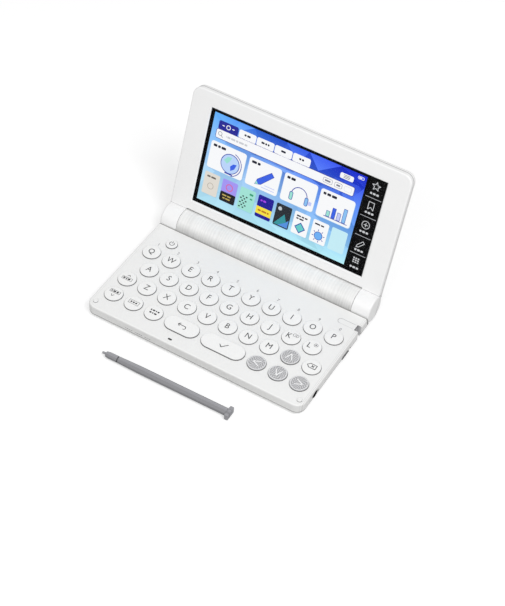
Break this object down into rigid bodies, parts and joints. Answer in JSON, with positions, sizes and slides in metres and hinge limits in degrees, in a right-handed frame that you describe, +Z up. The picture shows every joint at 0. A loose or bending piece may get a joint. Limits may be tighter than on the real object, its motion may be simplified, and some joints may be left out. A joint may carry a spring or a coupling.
{
  "type": "electronic dictionary",
  "caption": "Clamshell electronic dictionary: slim base with round sprung keys, barrel hinge that houses the cells, tilting display lid and a loose stylus.",
  "frame": {"origin": "bottom centre of the whole part as it stands, lid open and stylus lying in front", "axes": "+X to the user's right, +Y away from the user, +Z up"},
  "size_m": [0.15, 0.152, 0.0962],
  "materials": {
    "case_white": "satin",
    "key_white": "satin",
    "key_grey": "patterned",
    "board": "solder mask",
    "dome_rubber": "matt",
    "speaker_metal": "satin",
    "socket_black": "matt",
    "nickel": "plated",
    "cell": "printed sleeve",
    "steel": "satin",
    "screen_glass": "gloss",
    "display": "satin",
    "cable": "matt",
    "rubber_grey": "matt",
    "stylus_grey": "satin"
  },
  "bodies": {
    "base": {"base_top_cover": "case_white", "base_bottom_cover": "case_white", "stylus_channel": "case_white", "main_board": "board", "key_dome_sheet": "dome_rubber", "speaker": "speaker_metal", "headphone_jack": "socket_black", "usb_socket": "nickel", "hinge_barrel": "case_white", "battery_cells": "cell", "battery_contacts": "nickel", "hinge_cartridges": "steel", "rubber_feet": "rubber_grey", "base_screws": "steel"},
    "lid": {"lid_front_frame": "case_white", "lid_back_cover": "case_white", "touch_glass": "screen_glass", "display_module": "display", "display_cable": "cable", "hinge_pins": "steel"},
    "stylus": {"stylus": "stylus_grey"},
    "battery_cover": {"battery_cover": "case_white"},
    "key_q": {"key_q": "key_white"},
    "key_w": {"key_w": "key_white"},
    "key_e": {"key_e": "key_white"},
    "key_r": {"key_r": "key_white"},
    "key_t": {"key_t": "key_white"},
    "key_y": {"key_y": "key_white"},
    "key_u": {"key_u": "key_white"},
    "key_i": {"key_i": "key_white"},
    "key_o": {"key_o": "key_white"},
    "key_p": {"key_p": "key_white"},
    "key_a": {"key_a": "key_white"},
    "key_s": {"key_s": "key_white"},
    "key_d": {"key_d": "key_white"},
    "key_f": {"key_f": "key_white"},
    "key_g": {"key_g": "key_white"},
    "key_h": {"key_h": "key_white"},
    "key_j": {"key_j": "key_white"},
    "key_k": {"key_k": "key_white"},
    "key_l": {"key_l": "key_white"},
    "key_function_1": {"key_function_1": "key_white"},
    "key_z": {"key_z": "key_white"},
    "key_x": {"key_x": "key_white"},
    "key_c": {"key_c": "key_white"},
    "key_v": {"key_v": "key_white"},
    "key_b": {"key_b": "key_white"},
    "key_n": {"key_n": "key_white"},
    "key_m": {"key_m": "key_white"},
    "key_up": {"key_up": "key_grey"},
    "key_delete": {"key_delete": "key_white"},
    "key_function_2": {"key_function_2": "key_white"},
    "key_function_3": {"key_function_3": "key_white"},
    "key_function_4": {"key_function_4": "key_white"},
    "key_left": {"key_left": "key_grey"},
    "key_down": {"key_down": "key_grey"},
    "key_right": {"key_right": "key_grey"},
    "key_back": {"key_back": "key_white"},
    "key_enter": {"key_enter": "key_white"},
    "key_power": {"key_power": "key_white"}
  },
  "joints": [
    {"name": "lid_hinge", "type": "hinge", "parent": "base", "child": "lid", "pos_m": [0, 0.04006, 0.0094], "axis": [1, 0, 0], "range_deg": [-57, 108]},
    {"name": "stylus_lift", "type": "slide", "parent": "base", "child": "stylus", "axis": [0, 0, 1], "range_m": [0, 0.06]},
    {"name": "battery_cover_slide", "type": "slide", "parent": "base", "child": "battery_cover", "axis": [0, 1, 0], "range_m": [0, 0.012]},
    {"name": "key_q_press", "type": "slide", "parent": "base", "child": "key_q", "axis": [0, 0, -1], "range_m": [0, 0.0008], "stiffness_N_per_m": 500},
    {"name": "key_w_press", "type": "slide", "parent": "base", "child": "key_w", "axis": [0, 0, -1], "range_m": [0, 0.0008], "stiffness_N_per_m": 500},
    {"name": "key_e_press", "type": "slide", "parent": "base", "child": "key_e", "axis": [0, 0, -1], "range_m": [0, 0.0008], "stiffness_N_per_m": 500},
    {"name": "key_r_press", "type": "slide", "parent": "base", "child": "key_r", "axis": [0, 0, -1], "range_m": [0, 0.0008], "stiffness_N_per_m": 500},
    {"name": "key_t_press", "type": "slide", "parent": "base", "child": "key_t", "axis": [0, 0, -1], "range_m": [0, 0.0008], "stiffness_N_per_m": 500},
    {"name": "key_y_press", "type": "slide", "parent": "base", "child": "key_y", "axis": [0, 0, -1], "range_m": [0, 0.0008], "stiffness_N_per_m": 500},
    {"name": "key_u_press", "type": "slide", "parent": "base", "child": "key_u", "axis": [0, 0, -1], "range_m": [0, 0.0008], "stiffness_N_per_m": 500},
    {"name": "key_i_press", "type": "slide", "parent": "base", "child": "key_i", "axis": [0, 0, -1], "range_m": [0, 0.0008], "stiffness_N_per_m": 500},
    {"name": "key_o_press", "type": "slide", "parent": "base", "child": "key_o", "axis": [0, 0, -1], "range_m": [0, 0.0008], "stiffness_N_per_m": 500},
    {"name": "key_p_press", "type": "slide", "parent": "base", "child": "key_p", "axis": [0, 0, -1], "range_m": [0, 0.0008], "stiffness_N_per_m": 500},
    {"name": "key_a_press", "type": "slide", "parent": "base", "child": "key_a", "axis": [0, 0, -1], "range_m": [0, 0.0008], "stiffness_N_per_m": 500},
    {"name": "key_s_press", "type": "slide", "parent": "base", "child": "key_s", "axis": [0, 0, -1], "range_m": [0, 0.0008], "stiffness_N_per_m": 500},
    {"name": "key_d_press", "type": "slide", "parent": "base", "child": "key_d", "axis": [0, 0, -1], "range_m": [0, 0.0008], "stiffness_N_per_m": 500},
    {"name": "key_f_press", "type": "slide", "parent": "base", "child": "key_f", "axis": [0, 0, -1], "range_m": [0, 0.0008], "stiffness_N_per_m": 500},
    {"name": "key_g_press", "type": "slide", "parent": "base", "child": "key_g", "axis": [0, 0, -1], "range_m": [0, 0.0008], "stiffness_N_per_m": 500},
    {"name": "key_h_press", "type": "slide", "parent": "base", "child": "key_h", "axis": [0, 0, -1], "range_m": [0, 0.0008], "stiffness_N_per_m": 500},
    {"name": "key_j_press", "type": "slide", "parent": "base", "child": "key_j", "axis": [0, 0, -1], "range_m": [0, 0.0008], "stiffness_N_per_m": 500},
    {"name": "key_k_press", "type": "slide", "parent": "base", "child": "key_k", "axis": [0, 0, -1], "range_m": [0, 0.0008], "stiffness_N_per_m": 500},
    {"name": "key_l_press", "type": "slide", "parent": "base", "child": "key_l", "axis": [0, 0, -1], "range_m": [0, 0.0008], "stiffness_N_per_m": 500},
    {"name": "key_function_1_press", "type": "slide", "parent": "base", "child": "key_function_1", "axis": [0, 0, -1], "range_m": [0, 0.0008], "stiffness_N_per_m": 500},
    {"name": "key_z_press", "type": "slide", "parent": "base", "child": "key_z", "axis": [0, 0, -1], "range_m": [0, 0.0008], "stiffness_N_per_m": 500},
    {"name": "key_x_press", "type": "slide", "parent": "base", "child": "key_x", "axis": [0, 0, -1], "range_m": [0, 0.0008], "stiffness_N_per_m": 500},
    {"name": "key_c_press", "type": "slide", "parent": "base", "child": "key_c", "axis": [0, 0, -1], "range_m": [0, 0.0008], "stiffness_N_per_m": 500},
    {"name": "key_v_press", "type": "slide", "parent": "base", "child": "key_v", "axis": [0, 0, -1], "range_m": [0, 0.0008], "stiffness_N_per_m": 500},
    {"name": "key_b_press", "type": "slide", "parent": "base", "child": "key_b", "axis": [0, 0, -1], "range_m": [0, 0.0008], "stiffness_N_per_m": 500},
    {"name": "key_n_press", "type": "slide", "parent": "base", "child": "key_n", "axis": [0, 0, -1], "range_m": [0, 0.0008], "stiffness_N_per_m": 500},
    {"name": "key_m_press", "type": "slide", "parent": "base", "child": "key_m", "axis": [0, 0, -1], "range_m": [0, 0.0008], "stiffness_N_per_m": 500},
    {"name": "key_up_press", "type": "slide", "parent": "base", "child": "key_up", "axis": [0, 0, -1], "range_m": [0, 0.0008], "stiffness_N_per_m": 500},
    {"name": "key_delete_press", "type": "slide", "parent": "base", "child": "key_delete", "axis": [0, 0, -1], "range_m": [0, 0.0008], "stiffness_N_per_m": 500},
    {"name": "key_function_2_press", "type": "slide", "parent": "base", "child": "key_function_2", "axis": [0, 0, -1], "range_m": [0, 0.0008], "stiffness_N_per_m": 500},
    {"name": "key_function_3_press", "type": "slide", "parent": "base", "child": "key_function_3", "axis": [0, 0, -1], "range_m": [0, 0.0008], "stiffness_N_per_m": 500},
    {"name": "key_function_4_press", "type": "slide", "parent": "base", "child": "key_function_4", "axis": [0, 0, -1], "range_m": [0, 0.0008], "stiffness_N_per_m": 500},
    {"name": "key_left_press", "type": "slide", "parent": "base", "child": "key_left", "axis": [0, 0, -1], "range_m": [0, 0.0008], "stiffness_N_per_m": 500},
    {"name": "key_down_press", "type": "slide", "parent": "base", "child": "key_down", "axis": [0, 0, -1], "range_m": [0, 0.0008], "stiffness_N_per_m": 500},
    {"name": "key_right_press", "type": "slide", "parent": "base", "child": "key_right", "axis": [0, 0, -1], "range_m": [0, 0.0008], "stiffness_N_per_m": 500},
    {"name": "key_back_press", "type": "slide", "parent": "base", "child": "key_back", "axis": [0, 0, -1], "range_m": [0, 0.0008], "stiffness_N_per_m": 500},
    {"name": "key_enter_press", "type": "slide", "parent": "base", "child": "key_enter", "axis": [0, 0, -1], "range_m": [0, 0.0008], "stiffness_N_per_m": 500},
    {"name": "key_power_press", "type": "slide", "parent": "base", "child": "key_power", "axis": [0, 0, -1], "range_m": [0, 0.0008], "stiffness_N_per_m": 500}
  ]
}
